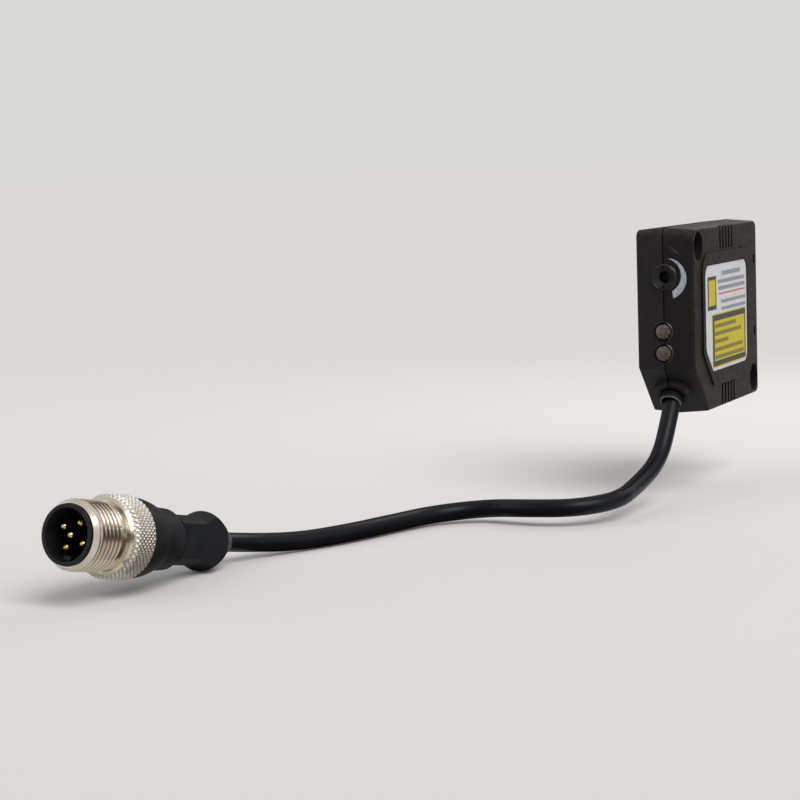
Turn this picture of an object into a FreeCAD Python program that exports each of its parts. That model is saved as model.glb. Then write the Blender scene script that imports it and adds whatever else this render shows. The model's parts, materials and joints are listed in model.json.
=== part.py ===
import FreeCAD, Part
import math
import os

V = FreeCAD.Vector

# Compact laser sensor: a moulded case in two halves, a cable and an M12 plug with five contacts.
# Millimetres. X runs through the thickness from the mounting face, Y runs to the front window, Z is up.
# The origin is midway between the two screw holes, on the mounting face.

# Case
case_depth = 48.6
case_height = 38.7
case_thickness = 12.0
parting_x = 5.7
wall = 1.4
corner_radius = 2.0
cut_corner = 9.9
cut_radius = 1.2
draft_inset = 0.5
rim_radius = 0.6
seam_width = 0.25
seam_depth = 0.3

# Screw holes in opposite corners, sunk from the label side
hole_inset_y = 4.2
hole_inset_z = 4.05
hole_radius = 1.65
sink_radius = 3.05
sink_depth = 3.4
post_wall = 0.9

# Raised panel and label on the wide face
panel_rear_inset = 5.8
panel_front_inset = 6.1
panel_top_inset = 5.95
panel_bottom_inset = 5.3
panel_cut = 7.2
panel_hole_radius = 4.0
panel_radius = 1.2
panel_raise = 0.4
label_length = 31.1
label_height = 21.95
label_y = -1.1
label_cut = 4.8
label_radius = 2.4
label_thickness = 0.12
pocket_depth = 0.3
pocket_gap = 0.15
dimple_radius = 0.35
dimple_depth = 0.8
dimple_y = 11.1
dimple_top_edge = -0.25
dimple_bottom_edge = 0.2

# Grip grooves over the top and bottom edges
groove_count = 5
groove_pitch = 2.18
groove_width = 1.1
groove_length = 5.35
groove_depth = 0.55

# Front window and its latches
window_width = 8.0
window_top_inset = 2.95
window_bottom_inset = 9.15
window_radius = 1.0
window_lip = 0.5
window_flange = 1.6
window_recess = 0.3
window_gap = 0.1
latch_height = 2.0
latch_depth = 1.2
latch_sink = 0.5
latch_drops = (8.75, 24.45)

# Gain adjuster on the rear face
pot_drop = 10.05
pot_boss_radius = 2.6
pot_boss_height = 0.3
pot_dish_radius = 2.2
pot_dish_depth = 0.5
pot_hole_radius = 1.25
pot_length = 3.8
pot_height = 3.6
pot_width = 3.8
rotor_radius = 1.05
rotor_sink = 1.8
rotor_length = 3.2
rotor_gap = 0.06
slot_width = 0.5
slot_depth = 0.6

# Status lamps on the rear face
led_rise = 3.35
led_pitch = 4.4
led_radius = 1.48
led_crown = 0.3
led_hole_gap = 0.14
led_hole_ease = 0.2
led_proud = 0.45
led_flange = 0.25
led_flange_length = 0.5
led_bore_gap = 0.05
holder_length = 3.6
holder_margin = 0.8
holder_width = 4.0

# Cable exit on the cut corner
gland_offset = 0.2
collar_radius = 3.85
collar_height = 1.4
collar_rim = 0.6
collar_dish = 0.35
bush_wall = 0.4
bush_proud = 1.5
bush_ease = 0.15
bush_flange = 1.2
bush_flange_length = 1.0
bush_gap = 0.05
cable_radius = 1.75
cable_inside = 5.0
cable_fit = 0.05

# Circuit board and what is soldered to it
board_x = 2.6
board_thickness = 1.0
board_gap = 0.6
board_front_gap = 0.2
board_bottom_inset = 9.35
board_cable_gap = 1.6
board_notch_gap = 0.3
support_radius = 1.1
chip_size = 5.0
chip_thickness = 1.0
driver_length = 4.0
driver_width = 3.0
driver_thickness = 0.9
driver_gap = 0.6
capacitor_length = 1.6
capacitor_width = 0.8
capacitor_pitch = 2.2
capacitor_count = 4
lead_width = 0.4
lead_spread = 1.27
lead_run = 1.0
core_radius = 0.4
core_ring = 0.85
core_count = 5
core_straight = 2.5
core_pad_reach = 6.0
core_pad_pitch = 1.6

# Optics behind the window
optics_length = 8.8
optics_side_gap = 0.1
optics_end_gap = 0.3
emitter_drop = 7.85
barrel_radius = 2.5
barrel_wall = 0.6
barrel_rear = 1.5
barrel_front_sink = 0.4
barrel_gap = 0.05
lens_thickness = 1.5
diode_flange = 1.0
diode_can_length = 3.0
diode_gap = 0.05
receiver_drop = 20.85
receiver_radius = 4.0
receiver_seat = 2.0
receiver_edge = 0.45
receiver_lens_edge = 1.0
receiver_lens_dome = 0.9
photodiode_size = 4.4
photodiode_thickness = 1.6

# Plug, measured along its axis from the front of the contact insert
plug_length = 42.3
insert_radius = 5.1
insert_cavity_radius = 4.45
insert_cavity_depth = 7.5
insert_stem_radius = 4.0
insert_stem_length = 7.8
insert_ridge = 0.4
insert_ridge_length = 0.6
insert_ridge_after = 0.35
key_width = 1.5
key_height = 1.0
key_turn = 184.0
pin_radius = 0.5
pin_circle = 2.45
pin_tip = 1.5
centre_pin_lead = 0.7
pin_turn = -13.0
nut_front = 0.5
thread_radius = 6.0
thread_length = 7.5
thread_lead = 1.2
thread_chamfer = 0.7
relief_radius = 5.6
relief_length = 1.3
knurl_radius = 7.2
knurl_length = 5.6
knurl_lead = 1.2
knurl_chamfer = 0.25
nut_gap = 0.08
nut_side_gap = 0.2
mould_gap = 0.03
nut_ridge_room = 0.15
nose_radius = 5.9
nose_length = 4.1
shoulder_radius = 6.9
shoulder_length = 6.3
shoulder_swell = 0.4
grip_collar_end = 25.6
grip_collar_front = 5.5
grip_collar_rear = 5.35
grip_collar_ease = 0.4
ring_groove_radius = 4.15
ring_groove_length = 1.7
waist_radius = 4.4
waist_end = 33.4
bulge_radius = 5.33
bulge_at = 36.9
dome_radius = 4.3
dome_at = 39.7
tail_wall = 0.6
tail_length = 0.9
flat_distance = 3.2
cable_in_plug = 5.0

# Where the plug lies, and the cable's route from the collar to it
plug_exit = V(-50.0, -111.8, -32.1)
plug_yaw = 6.6
plug_tilt = 11.0
cable_lead_out = 6.9
cable_plug_lead = 5.5
cable_points = [
    V(5.8, -28.5, -27.9),
    V(4.4, -41.1, -30.7),
    V(4.0, -50.4, -31.8),
    V(-2.2, -57.3, -32.9),
    V(-11.1, -58.3, -33.1),
    V(-20.8, -55.2, -33.8),
    V(-30.2, -60.4, -34.5),
    V(-34.1, -72.0, -34.6),
    V(-37.7, -84.5, -34.6),
    V(-43.3, -95.0, -34.7),
]

# Places worked out from the sizes above
rear = -case_depth / 2
front = case_depth / 2
top = case_height / 2
bottom = -case_height / 2
middle_x = case_thickness / 2
skin = wall + draft_inset
inner_rear = rear + skin
inner_front = front - skin
hole_centres = [
    (rear + hole_inset_y, top - hole_inset_z),
    (front - hole_inset_y, bottom + hole_inset_z),
]
pot_x = middle_x
pot_z = top - pot_drop
led_low = bottom + cut_corner + led_rise
led_zs = [led_low + led_pitch, led_low]
latch_zs = [top - drop for drop in latch_drops]
board_face = board_x + board_thickness
board_bottom = bottom + board_bottom_inset
out = V(0, -1, -1).normalize()
inward = out * -1
across = V(0, -1, 1).normalize()
bush_radius = cable_radius + cable_fit + bush_wall
gland = V(parting_x + gland_offset, rear + cut_corner / 2, bottom + cut_corner / 2)
window_top = top - window_top_inset
window_bottom = bottom + window_bottom_inset
flange_rear = inner_front - window_flange
optics_front = flange_rear - window_gap
optics_rear = optics_front - optics_length
emitter_z = top - emitter_drop
receiver_z = top - receiver_drop
knurl_from = nut_front + thread_length + relief_length
nut_end = knurl_from + knurl_length
nose_to = nut_end + nut_side_gap
nose_from = nose_to - nose_length
ridge_from = knurl_from + insert_ridge_after
ridge_to = ridge_from + insert_ridge_length
stem_end = nose_from + insert_stem_length
diode_rear = optics_rear - barrel_rear - diode_flange


def rounded_wire(corners, radii, x):
    # Closed outline in a plane of constant X through the (y, z) corners, each rounded by its radius.
    points = [V(x, y, z) for y, z in corners]
    count = len(points)
    arcs = []
    for i, corner in enumerate(points):
        to_last = (points[i - 1] - corner).normalize()
        to_next = (points[(i + 1) % count] - corner).normalize()
        half = to_last.getAngle(to_next) / 2
        reach = radii[i] / math.tan(half)
        centre = corner + (to_last + to_next).normalize() * (radii[i] / math.sin(half))
        crest = centre + (corner - centre).normalize() * radii[i]
        arcs.append((corner + to_last * reach, crest, corner + to_next * reach))
    edges = []
    for i, (start, crest, end) in enumerate(arcs):
        edges.append(Part.Arc(start, crest, end).toShape())
        edges.append(Part.LineSegment(end, arcs[(i + 1) % count][0]).toShape())
    return Part.Wire(edges)


def slab(corners, radii, x_from, x_to):
    return Part.Face(rounded_wire(corners, radii, x_from)).extrude(V(x_to - x_from, 0, 0))


def block(x, y, z):
    # Box between the low and high ends given for each axis.
    return Part.makeBox(x[1] - x[0], y[1] - y[0], z[1] - z[0], V(x[0], y[0], z[0]))


def rod(radius, base, direction, length):
    return Part.makeCylinder(radius, length, base, direction)


def rod_y(radius, x, y_from, y_to, z):
    return rod(radius, V(x, y_from, z), V(0, 1, 0), y_to - y_from)


def turned(profile):
    # Solid of revolution about local Z from (radius, distance) corners.
    points = [V(r, 0, s) for r, s in profile]
    return Part.Face(Part.makePolygon(points + points[:1])).revolve(V(0, 0, 0), V(0, 0, 1), 360)


def tube(points, radius):
    # Round tube along straight runs joined by arcs as large as the runs allow.
    edges = []
    radii = []
    start = points[0]
    for last, corner, following in zip(points, points[1:], points[2:]):
        to_last = last - corner
        to_next = following - corner
        reach = 0.45 * min(to_last.Length, to_next.Length)
        to_last.normalize()
        to_next.normalize()
        half = to_last.getAngle(to_next) / 2
        bend = reach * math.tan(half)
        centre = corner + (to_last + to_next).normalize() * (reach / math.cos(half))
        crest = centre + (corner - centre).normalize() * bend
        edges.append(Part.LineSegment(start, corner + to_last * reach).toShape())
        edges.append(Part.Arc(corner + to_last * reach, crest, corner + to_next * reach).toShape())
        start = corner + to_next * reach
        radii.append(bend)
    edges.append(Part.LineSegment(start, points[-1]).toShape())
    path = Part.Wire(edges)
    circle = Part.Edge(Part.Circle(points[0], points[1] - points[0], radius))
    return path.makePipeShell([Part.Wire([circle])], True, False), radii, path.Length


def case_outline(inset):
    # Side outline of the case, moved inwards: a rectangle with its lower rear corner cut off.
    back = rear + inset
    ahead = front - inset
    low = bottom + inset
    high = top - inset
    cut = cut_corner - inset * (2 - math.sqrt(2))
    corners = [(back, high), (ahead, high), (ahead, low), (back + cut, low), (back, low + cut)]
    bend = max(corner_radius - inset, corner_radius * 0.2)
    cut_bend = max(cut_radius - inset, cut_radius * 0.2)
    return corners, [bend, bend, bend, cut_bend, cut_bend]


def panel_outline():
    back = rear + panel_rear_inset
    ahead = front - panel_front_inset
    low = bottom + panel_bottom_inset
    high = top - panel_top_inset
    corners = [
        (back, high),
        (ahead, high),
        (ahead, low),
        (back + panel_cut, low),
        (back, low + panel_cut),
    ]
    return corners, [panel_hole_radius, panel_radius, panel_hole_radius, panel_radius, panel_radius]


def label_outline(grow):
    half_y = label_length / 2 + grow
    half_z = label_height / 2 + grow
    cut = label_cut + grow * (2 - math.sqrt(2))
    corners = [
        (label_y - half_y, half_z),
        (label_y + half_y, half_z),
        (label_y + half_y, -half_z),
        (label_y - half_y + cut, -half_z),
        (label_y - half_y, -half_z + cut),
    ]
    return corners, [label_radius + grow] * len(corners)


def half_block(face_x):
    # Solid half of the case between the parting plane and one wide face, with draft and an eased rim.
    lower = rounded_wire(*case_outline(0), parting_x)
    upper = rounded_wire(*case_outline(draft_inset), face_x)
    solid = Part.makeLoft([lower, upper], True, True)
    rim = [e for e in solid.Edges if all(abs(v.Point.x - face_x) < 1e-6 for v in e.Vertexes)]
    return solid.makeFillet(rim_radius, rim)


def own_side(face_x):
    # Everything on one half's side of the parting plane.
    reach = max(case_depth, case_height)
    beyond = face_x + math.copysign(reach, face_x - parting_x)
    return block(sorted((parting_x, beyond)), (-reach, reach), (-reach, reach))


def case_half(face_x, side_space):
    # Hollow half with screw posts, half of the cable collar and half of the adjuster's boss.
    solid = half_block(face_x).common(side_space)
    inner_x = face_x - math.copysign(wall, face_x - parting_x)
    cavity = slab(*case_outline(skin), parting_x, inner_x)
    shell = solid.cut(cavity)
    for y, z in hole_centres:
        post = rod(sink_radius + post_wall, V(0, y, z), V(1, 0, 0), case_thickness)
        shell = shell.fuse(post.common(solid))
    collar = rod(collar_radius, gland + inward * wall, out, wall + collar_height)
    boss = rod_y(pot_boss_radius, pot_x, rear - pot_boss_height, rear + wall, pot_z)
    shell = shell.fuse([collar.common(side_space), boss.common(side_space)])
    dish = Part.makeCone(
        bush_radius + bush_gap,
        collar_radius - collar_rim,
        collar_dish,
        gland + out * (collar_height - collar_dish),
        out,
    )
    cuts = [dish]
    cuts.append(rod(bush_radius + bush_gap, gland + inward * wall * 2, out, wall * 3 + collar_height))
    for y, z in hole_centres:
        cuts.append(rod(hole_radius, V(-1, y, z), V(1, 0, 0), case_thickness + 2))
        cuts.append(rod(sink_radius, V(case_thickness - sink_depth, y, z), V(1, 0, 0), sink_depth + 1))
    cuts.append(rod_y(pot_hole_radius, pot_x, rear - wall, rear + wall * 2, pot_z))
    pot_floor = V(pot_x, rear - pot_boss_height + pot_dish_depth, pot_z)
    cuts.append(Part.makeCone(pot_hole_radius, pot_dish_radius, pot_dish_depth, pot_floor, V(0, -1, 0)))
    led_hole = led_radius + led_hole_gap
    for z in led_zs:
        cuts.append(rod_y(led_hole, parting_x, rear - wall, rear + wall * 2, z))
        eased = V(parting_x, rear + led_hole_ease, z)
        cuts.append(
            Part.makeCone(led_hole, led_hole + led_hole_ease * 2, led_hole_ease * 2, eased, V(0, -1, 0))
        )
    cuts.append(window_block(0, inner_front - wall, front + wall))
    for z in latch_zs:
        cuts.append(latch_block(wall, 0, z))
    return shell.cut(cuts).removeSplitter()


def window_block(grow, y_from, y_to):
    # Rounded block of the window's size, grown all round, between two depths.
    half = window_width / 2 + grow
    box = block(
        (middle_x - half, middle_x + half),
        (y_from, y_to),
        (window_bottom - grow, window_top + grow),
    )
    along_y = [e for e in box.Edges if abs(e.tangentAt(e.FirstParameter).y) > 0.99]
    return box.makeFillet(window_radius, along_y)


def latch_block(overshoot, gap, z):
    # Bar across the case at the window's flange, where its latches sit in the wide walls.
    return block(
        (-overshoot, case_thickness + overshoot),
        (flange_rear + gap, flange_rear + latch_depth - gap),
        (z - latch_height / 2 + gap, z + latch_height / 2 - gap),
    )


def housing_plain():
    shell = case_half(0, own_side(0))
    for y, z in board_supports():
        shell = shell.fuse(rod(support_radius, V(wall / 2, y, z), V(1, 0, 0), board_x - wall / 2))
    return shell.removeSplitter()


def seam():
    # Shadow line round the edge of the label half, also over its collar and boss.
    reach = collar_height + bush_proud
    strip = slab(*case_outline(-reach), parting_x - wall, parting_x + seam_width)
    inner = slab(*case_outline(seam_depth), parting_x - wall * 2, parting_x + wall)
    collar = rod(collar_radius - seam_depth, gland + inward * wall, out, wall + collar_height - seam_depth)
    boss_from = rear - pot_boss_height + seam_depth
    boss = rod_y(pot_boss_radius - seam_depth, pot_x, boss_from, rear + wall, pot_z)
    return strip.cut(inner).cut(collar).cut(boss)


def housing_label():
    shell = case_half(case_thickness, own_side(case_thickness).cut(seam()))
    outer = case_thickness + panel_raise
    panel = slab(*panel_outline(), case_thickness - wall / 2, outer)
    shell = shell.fuse(panel).removeSplitter()
    cuts = [slab(*label_outline(pocket_gap), outer - pocket_depth, outer + wall)]
    panel_top = top - panel_top_inset
    panel_bottom = bottom + panel_bottom_inset
    for z in (panel_top - dimple_top_edge, panel_bottom + dimple_bottom_edge):
        cuts.append(rod(dimple_radius, V(outer - dimple_depth, dimple_y, z), V(1, 0, 0), wall))
    for i in range(groove_count):
        y = (i - (groove_count - 1) / 2) * groove_pitch
        for low, high in ((top - groove_length, top + wall), (bottom - wall, bottom + groove_length)):
            cuts.append(
                block(
                    (case_thickness - groove_depth, outer + wall),
                    (y - groove_width / 2, y + groove_width / 2),
                    (low, high),
                )
            )
    return shell.cut(cuts)


def label_sheet():
    floor = case_thickness + panel_raise - pocket_depth
    return slab(*label_outline(0), floor, floor + label_thickness)


def front_window():
    # Plate in the opening, a flange behind the wall and a latch lug through each wide wall.
    plate = window_block(-window_gap, flange_rear, front - window_recess)
    flange = window_block(window_lip, flange_rear, inner_front)
    lugs = [latch_block(-latch_sink, window_gap, z) for z in latch_zs]
    return plate.fuse([flange] + lugs).removeSplitter()


def optics_block():
    side = wall + optics_side_gap
    body = block(
        (side, case_thickness - side),
        (optics_rear, optics_front),
        (window_bottom + optics_end_gap, window_top - optics_end_gap),
    )
    emitter = rod_y(barrel_radius + barrel_gap, middle_x, optics_rear - 1, optics_front + 1, emitter_z)
    bore = rod_y(receiver_radius - receiver_edge, middle_x, optics_rear - 1, optics_front + 1, receiver_z)
    seat_from = optics_front - receiver_seat
    seat = rod_y(receiver_radius + barrel_gap, middle_x, seat_from, optics_front + 1, receiver_z)
    return body.cut([emitter, bore, seat])


def facing(shape, place, direction):
    # Turns a solid made along local Z to run from a place in a direction.
    shape.Placement = FreeCAD.Placement(place, FreeCAD.Rotation(V(0, 0, 1), direction))
    return shape


def facing_front(shape, y, z):
    return facing(shape, V(middle_x, y, z), V(0, 1, 0))


def domed(radius, edge, crown):
    # Disc along local Z with a straight edge and a spherical crown.
    sphere = (radius**2 + crown**2) / (2 * crown)
    lean = math.asin(radius / sphere) / 2
    rim = V(radius, 0, edge)
    pole = V(0, 0, edge + crown)
    between = V(sphere * math.sin(lean), 0, pole.z - sphere * (1 - math.cos(lean)))
    edges = [
        Part.LineSegment(V(0, 0, 0), V(radius, 0, 0)).toShape(),
        Part.LineSegment(V(radius, 0, 0), rim).toShape(),
        Part.Arc(rim, between, pole).toShape(),
        Part.LineSegment(pole, V(0, 0, 0)).toShape(),
    ]
    return Part.Face(Part.Wire(edges)).revolve(V(0, 0, 0), V(0, 0, 1), 360)


def laser_barrel():
    length = optics_length + barrel_rear - barrel_front_sink
    bore = barrel_radius - barrel_wall
    seat = length - lens_thickness - barrel_wall
    outer = rod(barrel_radius, V(0, 0, 0), V(0, 0, 1), length)
    hole = rod(bore, V(0, 0, -1), V(0, 0, 1), seat + 1)
    aperture = rod(bore - barrel_wall, V(0, 0, -1), V(0, 0, 1), length + 2)
    pocket = rod(bore, V(0, 0, length - lens_thickness), V(0, 0, 1), lens_thickness + 1)
    return facing_front(outer.cut([hole, aperture, pocket]), optics_rear - barrel_rear, emitter_z)


def collimator_lens():
    radius = barrel_radius - barrel_wall - barrel_gap
    lens = rod(radius, V(0, 0, 0), V(0, 0, 1), lens_thickness)
    dome = lens.makeFillet(lens_thickness * 0.3, [e for e in lens.Edges if e.Vertexes[0].Z > 0])
    return facing_front(dome, optics_front - barrel_front_sink - lens_thickness, emitter_z)


def laser_diode():
    flange = rod(barrel_radius, V(0, 0, -diode_flange), V(0, 0, 1), diode_flange)
    can = rod(barrel_radius - barrel_wall - diode_gap, V(0, 0, 0), V(0, 0, 1), diode_can_length)
    body = facing_front(flange.fuse(can), optics_rear - barrel_rear, emitter_z)
    return body.fuse(lead_pair(middle_x, diode_rear, diode_rear - lead_run, emitter_z)).removeSplitter()


def receiver_lens():
    # Flat at the back, domed at the front.
    lens = domed(receiver_radius, receiver_lens_edge, receiver_lens_dome)
    return facing_front(lens, optics_front - receiver_seat, receiver_z)


def photodiode():
    half = photodiode_size / 2
    return block(
        (board_face, board_face + photodiode_size),
        (optics_rear - photodiode_thickness, optics_rear),
        (receiver_z - half, receiver_z + half),
    )


def board_supports():
    # Four stubs under the board's corners.
    back = inner_rear + board_gap + support_radius * 2
    ahead = optics_rear - photodiode_thickness - support_radius * 2
    high = top - skin - board_gap - support_radius * 2
    low = board_bottom + support_radius
    return [(back, pot_z - pot_height), (ahead, high), (ahead, low), (back + cut_corner, low)]


def circuit_board():
    back = inner_rear + board_gap
    high = top - skin - board_gap
    ahead = optics_rear - board_front_gap
    plate = block((board_x, board_face), (back, ahead), (board_bottom, high))
    y, z = hole_centres[0]
    post = sink_radius + post_wall + board_notch_gap
    notch = block((0, case_thickness), (rear, y + post), (z - post, top))
    corner = gland + inward * (skin + bush_flange_length + board_cable_gap)
    cut_off = Part.makeBox(case_thickness, case_depth, case_depth, V(0, -case_depth / 2, -case_depth))
    cut_off.rotate(V(0, 0, 0), V(1, 0, 0), -45)
    cut_off.translate(V(0, corner.y, corner.z))
    reach = barrel_radius + board_notch_gap
    emitter = block(
        (0, case_thickness),
        (diode_rear - board_notch_gap, front),
        (emitter_z - reach, emitter_z + reach),
    )
    return plate.cut([notch, cut_off, emitter])


def control_chip():
    half = chip_size / 2
    return block((board_face, board_face + chip_thickness), (-half, half), (-half, half))


def laser_driver():
    y = diode_rear - lead_run - driver_gap - driver_length
    return block(
        (board_face, board_face + driver_thickness),
        (y, y + driver_length),
        (emitter_z - driver_width / 2, emitter_z + driver_width / 2),
    )


def capacitors():
    parts = []
    for i in range(capacitor_count):
        y = (i - (capacitor_count - 1) / 2) * capacitor_pitch
        parts.append(
            block(
                (board_face, board_face + capacitor_width),
                (y - capacitor_width / 2, y + capacitor_width / 2),
                (chip_size, chip_size + capacitor_length),
            )
        )
    return Part.makeCompound(parts)


def gain_pot_body():
    y_from = inner_rear
    body = block(
        (board_face, pot_x + pot_width / 2),
        (y_from, y_from + pot_length),
        (pot_z - pot_height / 2, pot_z + pot_height / 2),
    )
    bore_end = rear + rotor_sink + rotor_length + rotor_gap
    return body.cut(rod_y(rotor_radius + rotor_gap, pot_x, rear, bore_end, pot_z))


def gain_rotor():
    # Slotted screw that turns about Y, set back in its hole.
    y_from = rear + rotor_sink
    screw = rod_y(rotor_radius, pot_x, y_from, y_from + rotor_length, pot_z)
    slot = block(
        (pot_x - slot_width / 2, pot_x + slot_width / 2),
        (y_from - 1, y_from + slot_depth),
        (pot_z - rotor_radius * 2, pot_z + rotor_radius * 2),
    )
    return screw.cut(slot)


def led_holder():
    y_from = inner_rear
    reach = led_radius + holder_margin
    body = block(
        (board_face, parting_x + holder_width / 2),
        (y_from, y_from + holder_length),
        (min(led_zs) - reach, max(led_zs) + reach),
    )
    bore = led_radius + led_bore_gap
    y_to = y_from + holder_length + 1
    return body.cut([rod_y(bore, parting_x, rear, y_to, z) for z in led_zs])


def lead_pair(x, y_start, y_end, z):
    # Two square leads that run back from a lamp or laser and turn down to the board.
    leads = []
    foot_from = y_end + math.copysign(lead_width, y_start - y_end)
    for centre in (z - lead_spread / 2, z + lead_spread / 2):
        width = (centre - lead_width / 2, centre + lead_width / 2)
        run = block((x, x + lead_width), sorted((y_start, y_end)), width)
        foot = block((board_face, x + lead_width), sorted((foot_from, y_end)), width)
        leads.append(run.fuse(foot))
    return leads


def status_led(z):
    # Lamp along Y with a low crown, a flange behind its holder and two leads down to the board.
    flange_from = inner_rear + holder_length
    flange_to = flange_from + led_flange_length
    lamp = domed(led_radius, flange_to - rear + led_proud, led_crown)
    body = facing(lamp, V(parting_x, flange_to, z), V(0, -1, 0))
    flange = rod_y(led_radius + led_flange, parting_x, flange_from, flange_to, z)
    leads = lead_pair(parting_x, flange_to, flange_to + lead_run, z)
    return body.fuse([flange] + leads).removeSplitter()


def cable_bush():
    # Rubber sleeve that stands out of the collar, with a flange inside the wall.
    bore = cable_radius + cable_fit
    flange = bush_radius + bush_flange
    length = bush_flange_length + skin + collar_height + bush_proud
    sleeve = turned(
        [
            (bore, 0),
            (flange, 0),
            (flange, bush_flange_length),
            (bush_radius, bush_flange_length),
            (bush_radius, length - bush_ease),
            (bush_radius - bush_ease, length),
            (bore, length),
        ]
    )
    return facing(sleeve, gland + inward * (skin + bush_flange_length), out)


def core_wires():
    # Five insulated cores from the cable's end, fanned out to a row of pads on the board.
    end = gland + inward * cable_inside
    pads = end + inward * core_pad_reach
    places = []
    for i in range(core_count):
        turn = math.radians(90 + 360 * i / core_count)
        places.append(V(math.cos(turn), 0, 0) + across * math.sin(turn))
    places.sort(key=lambda place: place.dot(across))
    wires = []
    for i, place in enumerate(places):
        start = end + place * core_ring
        pad = pads + across * ((i - (core_count - 1) / 2) * core_pad_pitch)
        bend = V(start.x, pad.y, pad.z)
        foot = V(board_face, pad.y, pad.z)
        wires.append(tube([start, start + inward * core_straight, bend, foot], core_radius)[0])
    return wires


def plug_frame():
    # Placement that carries local Z along the plug from its front to the cable, with local Y upwards.
    yaw = math.radians(plug_yaw)
    tilt = math.radians(plug_tilt)
    axis = V(math.sin(yaw) * math.cos(tilt), math.cos(yaw) * math.cos(tilt), -math.sin(tilt))
    left = V(0, 0, 1).cross(axis).normalize()
    up = axis.cross(left)
    return FreeCAD.Placement(plug_exit - axis * plug_length, FreeCAD.Rotation(left, up, axis, "ZYX")), axis


def around(turn, radius, s):
    # Place at a clockwise turn from the top, seen from the front of the plug.
    angle = math.radians(turn)
    return V(-math.sin(angle) * radius, math.cos(angle) * radius, s)


def pin_places():
    # Tips of the contacts, four on a ring and one ahead of them in the middle.
    ring = [around(45 + 90 * i + pin_turn, pin_circle, pin_tip) for i in range(4)]
    return ring + [V(0, 0, pin_tip - centre_pin_lead)]


def contact_insert():
    # Cup round the contacts, with a snap ridge under the nut and a stem held in the grip.
    body = turned(
        [
            (0, insert_cavity_depth),
            (insert_cavity_radius, insert_cavity_depth),
            (insert_cavity_radius, 0),
            (insert_radius, 0),
            (insert_radius, ridge_from),
            (insert_radius + insert_ridge, (ridge_from + ridge_to) / 2),
            (insert_radius, ridge_to),
            (insert_radius, nose_from),
            (insert_stem_radius, nose_from),
            (insert_stem_radius, stem_end),
            (0, stem_end),
        ]
    )
    key = block(
        (-key_width / 2, key_width / 2),
        (insert_cavity_radius - key_height, insert_cavity_radius + key_height / 2),
        (key_height, insert_cavity_depth),
    )
    key.rotate(V(0, 0, 0), V(0, 0, 1), key_turn)
    body = body.fuse(key)
    holes = [rod(pin_radius + mould_gap, place, V(0, 0, 1), stem_end + 1) for place in pin_places()]
    return body.cut(holes).removeSplitter()


def contact_pin(place):
    # Round contact with a coned tip.
    length = stem_end - place.z
    tip_radius = pin_radius * 0.5
    pin = turned([(0, 0), (tip_radius, 0), (pin_radius, tip_radius), (pin_radius, length), (0, length)])
    pin.translate(place)
    return pin


def coupling_nut():
    # Threaded sleeve, relief groove and knurled ring on one turned part, with room inside for its seat.
    thread_end = nut_front + thread_length
    bore = insert_radius + nut_gap
    ridge_bore = insert_radius + insert_ridge + nut_ridge_room
    nose_bore = nose_radius + nut_side_gap
    return turned(
        [
            (bore, nut_front),
            (thread_radius - thread_chamfer, nut_front),
            (thread_radius, nut_front + thread_lead),
            (thread_radius, thread_end - thread_chamfer),
            (relief_radius, thread_end),
            (relief_radius, knurl_from),
            (knurl_radius - knurl_lead, knurl_from),
            (knurl_radius, knurl_from + knurl_lead),
            (knurl_radius, nut_end - knurl_chamfer),
            (knurl_radius - knurl_chamfer, nut_end),
            (nose_bore, nut_end),
            (nose_bore, nose_from - nut_side_gap),
            (bore, nose_from - nut_side_gap),
            (bore, ridge_to + nut_ridge_room),
            (ridge_bore, ridge_to + nut_ridge_room),
            (ridge_bore, ridge_from - nut_ridge_room),
            (bore, ridge_from - nut_ridge_room),
        ]
    )


def plug_overmould():
    # Grip with a swelled shoulder, a ring groove, a waist, a bulged end and two thumb flats.
    stem_bore = insert_stem_radius + mould_gap
    collar_from = nose_to + shoulder_length
    groove_to = grip_collar_end + ring_groove_length
    tail_from = plug_length - tail_length
    tail_radius = cable_radius + tail_wall
    nose = [
        (stem_bore, nose_from),
        (nose_radius, nose_from),
        (nose_radius, nose_to),
        (shoulder_radius, nose_to),
    ]
    middle = [
        (grip_collar_front, collar_from),
        (grip_collar_rear, grip_collar_end - grip_collar_ease),
        (grip_collar_rear - grip_collar_ease, grip_collar_end),
        (ring_groove_radius, grip_collar_end),
        (ring_groove_radius, groove_to),
        (waist_radius, groove_to),
        (waist_radius, waist_end),
    ]
    end = [
        (tail_radius, tail_from),
        (cable_radius + cable_fit * 2, plug_length),
        (0, plug_length),
        (0, stem_end),
        (stem_bore, stem_end),
        (stem_bore, nose_from),
    ]
    nose, middle, end = ([V(r, 0, s) for r, s in run] for run in (nose, middle, end))
    slope = middle[0] - nose[-1]
    swell = V(slope.z, 0, -slope.x).normalize() * shoulder_swell
    shoulder = Part.Arc(nose[-1], (nose[-1] + middle[0]) / 2 + swell, middle[0])
    bulge = Part.BSplineCurve()
    bulge.interpolate(
        [middle[-1], V(bulge_radius, 0, bulge_at), V(dome_radius, 0, dome_at), end[0]],
        InitialTangent=V(0, 0, 1),
        FinalTangent=V(-1, 0, 0.3),
    )
    edges = Part.makePolygon(nose).Edges + [shoulder.toShape()] + Part.makePolygon(middle).Edges
    edges += [bulge.toShape()] + Part.makePolygon(end).Edges
    grip = Part.Face(Part.Wire(edges)).revolve(V(0, 0, 0), V(0, 0, 1), 360)
    cuts = [rod(cable_radius + cable_fit, V(0, 0, plug_length - cable_in_plug), V(0, 0, 1), plug_length)]
    for way in (-1, 1):
        width = sorted((way * flat_distance, way * bulge_radius * 2))
        cuts.append(block(width, (-bulge_radius, bulge_radius), (groove_to, plug_length)))
    return grip.cut(cuts)


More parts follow.
